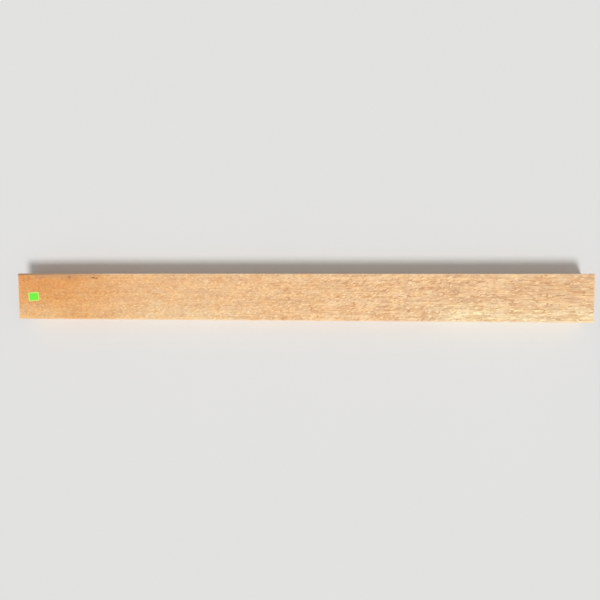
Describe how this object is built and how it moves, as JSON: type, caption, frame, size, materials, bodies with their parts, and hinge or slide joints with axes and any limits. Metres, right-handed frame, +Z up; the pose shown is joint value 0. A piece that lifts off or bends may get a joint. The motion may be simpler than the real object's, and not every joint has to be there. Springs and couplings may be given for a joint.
{
  "type": "timber plank",
  "caption": "Sawn hardwood plank of plain rectangular section with eased edges, a short tapering wane at an end and a blank stock label, laid flat to be cut, joined or fixed.",
  "frame": {"origin": "middle of the underside, on the surface that the plank lies on", "axes": "+X along the grain away from the labelled end, +Y across the face towards the arris with the wane, +Z up out of the show face"},
  "size_m": [1.215, 0.1, 0.0502],
  "materials": {
    "timber": "bare, sawn and dressed",
    "label_paper": "matt fluorescent"
  },
  "bodies": {
    "root": {"plank": "timber", "label": "label_paper"}
  },
  "joints": []
}
